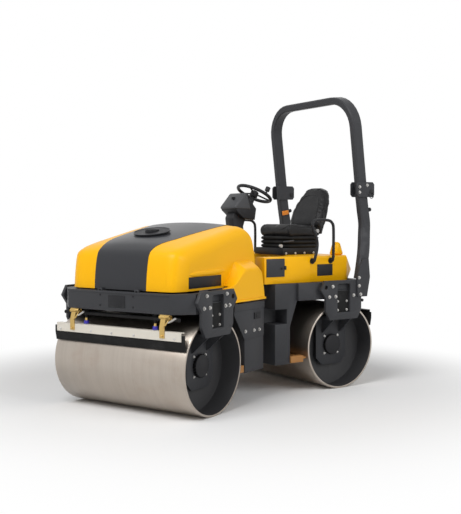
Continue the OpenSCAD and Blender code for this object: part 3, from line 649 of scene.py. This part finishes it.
def cushion(node, name):  # blown up as cloth from the CAD solid, then smoothed
    mesh = cadCopy(node)
    bevelled(mesh, seat["round"], 3)
    mesh.normal_update()
    for v in mesh.verts:
        v.co -= v.normal * seat["shrink"]
    piece = addPiece(name, mesh, bodyOf[node], "seat_vinyl")
    rounded(piece, seat["voxel"], seat["passes"])
    before = [v.co.copy() for v in piece.data.vertices]
    cloth = piece.modifiers.new("blown", "CLOTH")
    cloth.settings.use_pressure = True
    cloth.settings.uniform_pressure_force = seat["pressure"]
    cloth.settings.effector_weights.gravity = 0
    cloth.settings.bending_stiffness = seat["stiffness"]
    cloth.point_cache.frame_end = seat["frames"]
    for moment in range(1, seat["frames"] + 1):
        bpy.context.scene.frame_set(moment)
    keep(piece)
    bpy.context.scene.frame_set(1)
    for v, start in zip(piece.data.vertices, before):
        move = v.co - start
        if move.length > seat["cap"]:
            v.co = start + move.normalized() * seat["cap"]
    softened(piece, seat["lastPasses"])
    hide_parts(node)
    return piece


seatPad = cushion("seat_cushion", "seat_cushion_pad")
backPad = cushion("seat_back", "seat_back_pad")


def laidOn(piece, points, aim):  # points moved along aim onto the piece's surface
    corners = [v.co for v in piece.data.vertices]
    tree = BVHTree.FromPolygons(corners, [f.vertices for f in piece.data.polygons])
    line = []
    for point in points:
        place = tree.ray_cast(Vector(point), Vector(aim))[0]
        if place:
            line.append(place)
    return line


def ovalRing(front, rear, half, z, power=5.0, count=56):  # rounded rectangle
    ring = []
    for c, s in circle(1.0, count):
        ring.append(((front + rear) / 2 + (front - rear) / 2 * math.copysign(abs(c) ** (2 / power), c),
                     half * math.copysign(abs(s) ** (2 / power), s), z))
    return ring


seatFoot = {
    "frame": ((-0.943, -0.199, 1.0905), (-0.564, 0.199, 1.148)), "edge": 0.006, "folds": 3, "steps": 8,
    "swell": 0.018, "fullness": 0.7, "front": -0.612, "rear": -0.98, "half": 0.19, "low": 1.146, "tall": 0.1,
}


def seatBase():
    box = bmesh.new()
    addBox(box, *seatFoot["frame"])
    bevelled(box, seatFoot["edge"])
    base = addPiece("seat_frame", box, "rear_frame", "black_paint")
    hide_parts("seat_base")
    bellows = bmesh.new()
    rings = []
    steps = seatFoot["steps"] * seatFoot["folds"]
    for k in range(steps + 1):
        fold = abs(math.sin(math.pi * seatFoot["folds"] * k / steps))
        swell = seatFoot["swell"] * fold ** seatFoot["fullness"]
        rings.append(ovalRing(seatFoot["front"] + swell, seatFoot["rear"] - swell, seatFoot["half"] + swell,
                              seatFoot["low"] + seatFoot["tall"] * k / steps))
    addLoft(bellows, rings)
    addPiece("seat_bellows", bellows, "rear_frame", "black_rubber")


seatBase()

welt = {
    "edge": [(-0.19, 1.37), (-0.196, 1.44), (-0.186, 1.53), (-0.156, 1.6), (-0.11, 1.642), (-0.05, 1.66),
             (0.05, 1.66), (0.11, 1.642), (0.156, 1.6), (0.186, 1.53), (0.196, 1.44), (0.19, 1.37)],
    "innerSize": 0.78, "innerFrom": 1.4, "back": ((70, 0.004), (60, 0.003)),
    "pad": (-0.625, -0.93, 0.19, 2.0, 6.0, 72), "padRadius": 0.0035,
}


def seatWelts():
    size, middle = welt["innerSize"], welt["innerFrom"]
    inner = [(size * y, middle + size * (z - middle)) for y, z in welt["edge"]]
    trim = bmesh.new()
    for outline, (steps, radius) in zip((welt["edge"], inner), welt["back"]):
        points = [(0, y, z) for y, z in throughPoints(outline, steps)]
        addTube(trim, laidOn(backPad, points, (-1, 0, 0)), radius)
    rim = ovalRing(*welt["pad"])
    addTube(trim, laidOn(seatPad, rim + rim[:1], (0, 0, -1)), welt["padRadius"])
    addPiece("seat_welts", trim, "rear_frame", "seat_vinyl")


seatWelts()

fitting = {
    "bolts": [(-0.6, 0.199, 1.103), (-0.7, 0.199, 1.103), (-0.8, 0.199, 1.103), (-0.9, 0.199, 1.103)],
    "bolt": 0.011,
    "pins": [((-0.575, 0.15, 1.165), (-0.575, 0.17, 1.165), 0.014),
             ((-0.93, 0.205, 1.29), (-0.93, 0.222, 1.29), 0.016)],
    "lever": [(-0.6, 0.17, 1.2), (-0.585, 0.2, 1.2), (-0.6, 0.222, 1.203), (-0.66, 0.226, 1.21)],
    "leverRadius": 0.007,
}


def seatFittings():
    hardware = bmesh.new()
    for place in fitting["bolts"]:
        addBolt(hardware, place, (0, 1, 0), fitting["bolt"])
    for start, end, radius in fitting["pins"]:
        addRod(hardware, start, end, radius)
    addPiece("seat_hardware", hardware, "rear_frame", "zinc")
    lever = bmesh.new()
    addTube(lever, fitting["lever"], fitting["leverRadius"])
    addPiece("seat_lever", lever, "rear_frame", "lid_grey")


seatFittings()
print("seat made")


# Running gear

gear = {
    "forkFace": 0.636, "panelFace": 0.614, "plateFace": 0.476, "hubRing": 0.1, "hubBolts": 4,
    "frontBolts": [(0.138, 0.863), (-0.108, 0.863), (0.17, 0.779), (0.102, 0.779), (-0.09, 0.779),
                   (-0.142, 0.779)],
    "rearBolts": [(-0.121, 0.845), (-0.157, 0.762), (-0.09, 0.762), (0.105, 0.765)],
    "panelBolts": [(0.048, 0.72), (0.048, 0.648)], "forkBolt": 0.015, "smallBolt": 0.011,
    "ribs": 24, "ribRing": 0.08, "ribEnds": (0.478, 0.499), "rib": 0.005,
    # shade: a thin dark sheet inside each fork's window, painted shade where the rail's face lies in shadow
    "shade": ((-0.0695, 0.6115, 0.6305), (0.0695, 0.614, 0.805)),
}


def runningBolts(name, body, turn, places):
    axle, axleUp = layout["axle"], layout["drumRadius"]
    bolts = bmesh.new()
    shade = bmesh.new()
    for side in (-1, 1):
        out = (0, side, 0)
        for x, z in places:
            addBolt(bolts, (axle + x, side * gear["forkFace"], z), out, gear["forkBolt"])
        for x, z in gear["panelBolts"]:
            for end in (-1, 1):
                addBolt(bolts, (axle + end * x, side * gear["panelFace"], z), out, gear["smallBolt"])
        for x, z in circle(gear["hubRing"], gear["hubBolts"], 0.5):
            addBolt(bolts, (axle + x, side * gear["plateFace"], axleUp + z), out, gear["smallBolt"])
        for x, z in circle(gear["ribRing"], gear["ribs"]):  # ribs round the hub cap
            near, far = ((axle + x, side * y, axleUp + z) for y in gear["ribEnds"])
            addRod(shade, near, far, gear["rib"], 8)
        # a thin dark sheet behind the fork's window: painted shade standing for the shadowed rail face
        addSideBox(shade, [(axle + x, y, z) for x, y, z in gear["shade"]], side)
    bolts.transform(turn)
    shade.transform(turn)
    addPiece(name + "_bolts", bolts, body, "zinc")
    addPiece(name + "_hub_ribs_and_painted_shade", shade, body, "black_rubber")


runningBolts("front", "front_frame", frontTurn, gear["frontBolts"])
runningBolts("rear", "rear_frame", mirrorX, gear["rearBolts"])

panel = {
    "face": 0.588, "bolts": [(0.433, 0.555), (0.312, 0.553), (0.238, 0.551)], "bolt": 0.014,
    "sockets": [((0.226, 0, 0.636), (0.31, 0.006, 0.686)), ((0.25, 0, 0.65), (0.286, 0.009, 0.672))],
    "band": ((0.166, -0.004, 0.712), (0.582, 0.005, 0.768)), "bandEdge": 0.003,
}


def sideDetails():
    bolts = bmesh.new()
    trim = bmesh.new()
    band = bmesh.new()
    for side in (-1, 1):
        for x, z in panel["bolts"]:
            addBolt(bolts, (x, side * panel["face"], z), (0, side, 0), panel["bolt"])
        for box in panel["sockets"]:
            addSideBox(trim, box, side, panel["face"])
        addSideBox(band, panel["band"], side, panel["face"])
    bevelled(band, panel["bandEdge"])
    addPiece("panel_bolts", onFront(bolts), "front_frame", "zinc")
    addPiece("panel_sockets", onFront(trim), "front_frame", "black_plastic")
    addPiece("panel_bands", onFront(band), "front_frame", "dark_paint")


sideDetails()


# Scraper, nozzles and the beam's plate

scraper = {
    "x": 1.205, "top": 0.627, "half": 0.574, "deep": 0.062, "thick": 0.006, "lip": (-0.034, 0.001),
    "screws": (-0.535, -0.235, -0.04, 0.165, 0.52), "screwDown": 0.045, "screw": 0.009,
}
strap = {  # X from the scraper, Y from the strap's middle
    "apart": 0.415, "half": 0.021,
    "outline": [(-0.022, 0.734), (0.005, 0.651), (0.005, 0.581), (0.011, 0.581), (0.011, 0.655),
                (-0.012, 0.734)],
    "pivot": [(-0.012, -0.034, 0.722), (-0.012, 0.05, 0.722)], "pivotRadius": 0.013,
    "clamp": [(-0.045, -0.028, 0.728), (-0.004, 0.028, 0.74)],
    "coil": (-0.012, 0.022, 0.722), "coilSteps": 46, "coilTurn": 0.7, "coilRise": 0.0008,
    "coilRadius": 0.019, "wire": 0.0035,
    "tail": [(-0.012, 0.05, 0.722), (0.0, 0.046, 0.7), (0.008, 0.03, 0.672), (0.012, 0.012, 0.662)],
    "tailRadius": 0.005, "bolts": [(0.011, 0, 0.597)], "bolt": 0.01,
    "lever": [(-0.002, 0.045, 0.688), (0.004, 0.075, 0.7), (0.008, 0.115, 0.722)], "leverRadius": 0.007,
}


def frontScraper():
    x, top, half = scraper["x"], scraper["top"], scraper["half"]
    lipBack, lipFront = scraper["lip"]
    rail = bmesh.new()
    addBox(rail, (x, -half, top - scraper["deep"]), (x + scraper["thick"], half, top))
    addBox(rail, (x + lipBack, -half, top - scraper["thick"]), (x + lipFront, half, top))
    piece = addPiece("scraper_bar", onFront(rail), "front_frame", "cream_paint")
    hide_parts("front_scraper")
    screws = bmesh.new()
    for y in scraper["screws"]:
        addBolt(screws, (x + scraper["thick"], y, top - scraper["screwDown"]), (1, 0, 0), scraper["screw"])
    addPiece("scraper_screws", onFront(screws), "front_frame", "pin_steel")


def strapCoil():
    middleX, startY, middleZ = strap["coil"]
    coil = []
    for k in range(strap["coilSteps"]):
        angle = k * strap["coilTurn"]
        coil.append((middleX + strap["coilRadius"] * math.cos(angle), startY + strap["coilRise"] * k,
                     middleZ + strap["coilRadius"] * math.sin(angle)))
    return coil


def byStrap(points, middle):
    return [(scraper["x"] + x, middle + y, z) for x, y, z in points]


def scraperStraps():
    straps = bmesh.new()
    levers = bmesh.new()
    for side in (-1, 1):
        middle = side * strap["apart"]
        outline = [(scraper["x"] + x, z) for x, z in strap["outline"]]
        addSlab(straps, outline, middle - strap["half"], middle + strap["half"])
        addRod(straps, *byStrap(strap["pivot"], middle), strap["pivotRadius"])
        addBox(straps, *byStrap(strap["clamp"], middle))
        addTube(straps, byStrap(strapCoil(), middle), strap["wire"], 6)
        addTube(straps, byStrap(strap["tail"], middle), strap["tailRadius"], 8)
        for place in byStrap(strap["bolts"], middle):
            addBolt(straps, place, (1, 0, 0), strap["bolt"])
        addTube(levers, byStrap(strap["lever"], middle), strap["leverRadius"])
    addPiece("scraper_straps", onFront(straps), "front_frame", "gold")
    addPiece("scraper_levers", onFront(levers), "front_frame", "zinc")


frontScraper()
scraperStraps()

nozzle = {  # low, high, lower radius, sides and upper radius
    "x": 1.165, "apart": 0.32, "cap": (0.629, 0.653, 0.021, 24, 0.017),
    "tip": (0.652, 0.672, 0.012, 20, 0.0095),
}


def nozzleTops():
    for name, key, finish in (("nozzle_caps", "cap", "blue"), ("nozzle_tips", "tip", "gold")):
        low, high, *sizes = nozzle[key]
        mesh = bmesh.new()
        for side in (-1, 1):
            y = side * nozzle["apart"]
            addRod(mesh, (nozzle["x"], y, low), (nozzle["x"], y, high), *sizes)
        addPiece(name, onFront(mesh), "front_frame", finish)


nozzleTops()

beam = {
    "plate": ((1.1995, -0.078, 0.765), (1.203, 0.078, 0.85)), "plateEdge": 0.001, "pegFaces": (1.199, 1.203),
    "pegs": [(-0.155, 0.775), (-0.155, 0.85), (0.15, 0.775), (0.15, 0.85)], "peg": 0.007,
}


def beamDetails():
    plate = bmesh.new()
    addBox(plate, *beam["plate"])
    bevelled(plate, beam["plateEdge"])
    addPiece("beam_plate", onFront(plate), "front_frame", "black_plastic")
    pegs = bmesh.new()
    for y, z in beam["pegs"]:
        near, far = ((x, y, z) for x in beam["pegFaces"])
        addRod(pegs, near, far, beam["peg"], 16)
    addPiece("beam_pegs", onFront(pegs), "front_frame", "black_paint")


beamDetails()
print("running gear made")


# Operator's place

tank = {
    "plate": ((-0.842, 0.5115, 0.927), (-0.677, 0.5145, 1.022)), "edge": 0.001,
    "latch": ((-0.345, 0.5195, 0.99), (-0.328, 0.531, 1.02)),
    "latchPin": ((-0.3, 0.524, 1.0), (-0.3, 0.532, 1.0), 0.009),
}


def tankDetails():
    marks = bmesh.new()
    for side in (-1, 1):
        addSideBox(marks, tank["plate"], side)
    bevelled(marks, tank["edge"])
    addPiece("tank_plates", marks, "rear_frame", "black_plastic")
    latch = bmesh.new()
    addBox(latch, *tank["latch"])
    addRod(latch, *tank["latchPin"])
    bevelled(latch, tank["edge"])
    addPiece("hatch_latch", latch, "rear_frame", "black_plastic")


console = {
    "lid": [(-0.305, 1.47), (-0.135, 1.475), (-0.141, 1.497), (-0.235, 1.607), (-0.262, 1.607)],
    "lidHalf": 0.11, "lidRound": 0.018,
    "switches": [(-0.33, 0.07, 1.535), (-0.33, -0.06, 1.535), (-0.35, 0.02, 1.51)],
    "switchOut": (-0.02, 0, 0.014), "switchRoot": 0.012, "switchTip": 0.009,
    "lock": ((-0.2, 0.02, 1.55), (-0.192, 0.02, 1.562), 0.012),
    "key": ((-0.205, 0.014, 1.553), (-0.17, 0.02, 1.575)),
    "wheel": (-0.414, 0, 1.606), "wheelTilt": -27, "bossSides": 32,
    "boss": ((0.033, 0.0125), (0.033, 0.017), (0.027, 0.022), (0.014, 0.0245)),
}


def consoleDetails():
    lid = bmesh.new()
    half = console["lidHalf"]
    addLoft(lid, [[(x, y, z) for x, z in console["lid"]] for y in (-half, half)])
    bevelled(lid, console["lidRound"], 4)
    addPiece("console_lid", lid, "rear_frame", "lid_grey")
    knobs = bmesh.new()
    for root in console["switches"]:
        tip = Vector(root) + Vector(console["switchOut"])
        addRod(knobs, root, tip, console["switchRoot"], 16, console["switchTip"])
    addRod(knobs, *console["lock"], 16)
    addBox(knobs, *console["key"])
    addPiece("console_switches", knobs, "rear_frame", "black_plastic")
    boss = bmesh.new()
    addLoft(boss, [[(x, y, z) for x, y in circle(r, console["bossSides"])] for r, z in console["boss"]])
    tilt = Matrix.Rotation(math.radians(console["wheelTilt"]), 4, "Y")
    boss.transform(Matrix.Translation(console["wheel"]) @ tilt)
    addPiece("wheel_boss", boss, "steering_wheel", "black_plastic")


bar = {
    "jointFace": 0.583, "jointBolts": [(-1.075, 1.66), (-1.075, 1.615), (-1.16, 1.675)], "jointBolt": 0.014,
    "footFace": 0.65, "footBolts": [(-1.013, 0.908), (-1.014, 0.841), (-1.03, 0.77)], "footBolt": 0.015,
    "clip": (-1.2, 0.5935, 1.59), "clipRadius": 0.024, "clipSteps": 24, "wire": 0.003,
}


def barDetails():
    bolts = bmesh.new()
    for side in (-1, 1):
        for part in ("joint", "foot"):
            for x, z in bar[part + "Bolts"]:
                addBolt(bolts, (x, side * bar[part + "Face"], z), (0, side, 0), bar[part + "Bolt"])
    addPiece("bar_bolts", bolts, "rear_frame", "zinc")
    clips = bmesh.new()
    clipX, clipY, clipZ = bar["clip"]
    ring = circle(bar["clipRadius"], bar["clipSteps"])
    for side in (-1, 1):
        addTube(clips, [(clipX + s, side * clipY, clipZ + c) for c, s in ring + ring[:1]], bar["wire"], 8)
    addPiece("bar_clips", clips, "rear_frame", "black_paint")


tankDetails()
consoleDetails()
barDetails()
print("operator's place made")


# Camera, light and floor

view = {"place": (3.8547, 5.8682, 1.3805), "yaw": -124.446, "pitch": -2.448, "lens": 59.94, "sensor": 36}


def addCamera():
    camera = bpy.data.cameras.new("photoView")
    camera.lens = view["lens"]
    camera.sensor_width = view["sensor"]
    holder = bpy.data.objects.new("photoView", camera)
    yaw, pitch = math.radians(view["yaw"]), math.radians(view["pitch"])
    ahead = Vector((math.cos(pitch) * math.cos(yaw), math.cos(pitch) * math.sin(yaw), math.sin(pitch)))
    holder.location = view["place"]
    holder.rotation_euler = ahead.to_track_quat("-Z", "Y").to_euler()
    bpy.context.collection.objects.link(holder)
    bpy.context.scene.camera = holder


addCamera()
print("camera set")

lampSize = 4.0
lamps = {  # place, target and power
    "keyLamp": ((4.5, 2.0, 5.5), (0, 0, 0.8), 270),
    "sideLamp": ((-2.0, 6.0, 4.0), (-0.3, 0, 0.8), 150),
    "backLamp": ((-4.5, -3.5, 4.5), (0, 0, 1.0), 25),
}


def addLamp(name, place, target, power):
    lamp = bpy.data.lights.new(name, "AREA")
    lamp.shape = "DISK"
    lamp.size = lampSize
    lamp.energy = power
    holder = bpy.data.objects.new(name, lamp)
    holder.location = place
    holder.rotation_euler = (Vector(target) - Vector(place)).to_track_quat("-Z", "Y").to_euler()
    bpy.context.collection.objects.link(holder)


for name, values in lamps.items():
    addLamp(name, *values)

ground = {
    "radius": 60.0, "sides": 96, "fade": (1.5, 3.2), "matt": (0.93, 0.93, 0.93, 1), "white": (1, 1, 1, 1),
}
sky = {"light": 0.3, "seen": 0.7, "white": (1, 1, 1, 1)}


def seenRays(tree):  # rays that see the white background itself
    path = tree.nodes.new("ShaderNodeLightPath")
    camera, glossy, clear = (Wire(tree, path.outputs[kind])
                             for kind in ("Is Camera Ray", "Is Glossy Ray", "Is Transmission Ray"))
    return camera + glossy + clear


def addFloor():
    mesh = bmesh.new()
    bmesh.ops.create_circle(mesh, cap_ends=True, segments=ground["sides"], radius=ground["radius"])
    made = bpy.data.meshes.new("floor")
    mesh.to_mesh(made)
    mesh.free()
    floor = bpy.data.objects.new("floor", made)
    bpy.context.collection.objects.link(floor)
    finish = bpy.data.materials.new("paleFloor")
    finish.use_nodes = True
    tree = finish.node_tree
    tree.nodes.clear()
    place = Wire(tree, tree.nodes.new("ShaderNodeTexCoord").outputs["Object"])
    reach = place.node("ShaderNodeVectorMath", {"operation": "LENGTH"}, {0: place}, out=1)
    far = reach.step(*ground["fade"])
    matt = place.node("ShaderNodeBsdfDiffuse", None, {"Color": ground["matt"]})
    white = place.node("ShaderNodeEmission", None, {"Color": ground["white"], "Strength": 1.0})
    both = place.node("ShaderNodeMixShader", None, {0: far * seenRays(tree), 1: matt, 2: white})
    end = tree.nodes.new("ShaderNodeOutputMaterial")
    tree.links.new(both.socket, end.inputs["Surface"])
    made.materials.append(finish)


def addWorld():
    world = bpy.data.worlds.new("studio")
    bpy.context.scene.world = world
    world.use_nodes = True
    tree = world.node_tree
    tree.nodes.clear()
    seen = seenRays(tree)
    strength = seen.math("MINIMUM", sky["light"] + seen * sky["seen"], 1.0)
    back = seen.node("ShaderNodeBackground", None, {"Color": sky["white"], "Strength": strength})
    end = tree.nodes.new("ShaderNodeOutputWorld")
    tree.links.new(back.socket, end.inputs["Surface"])


addFloor()
addWorld()
bpy.context.scene.view_settings.view_transform = "Standard"
print("light and floor set")
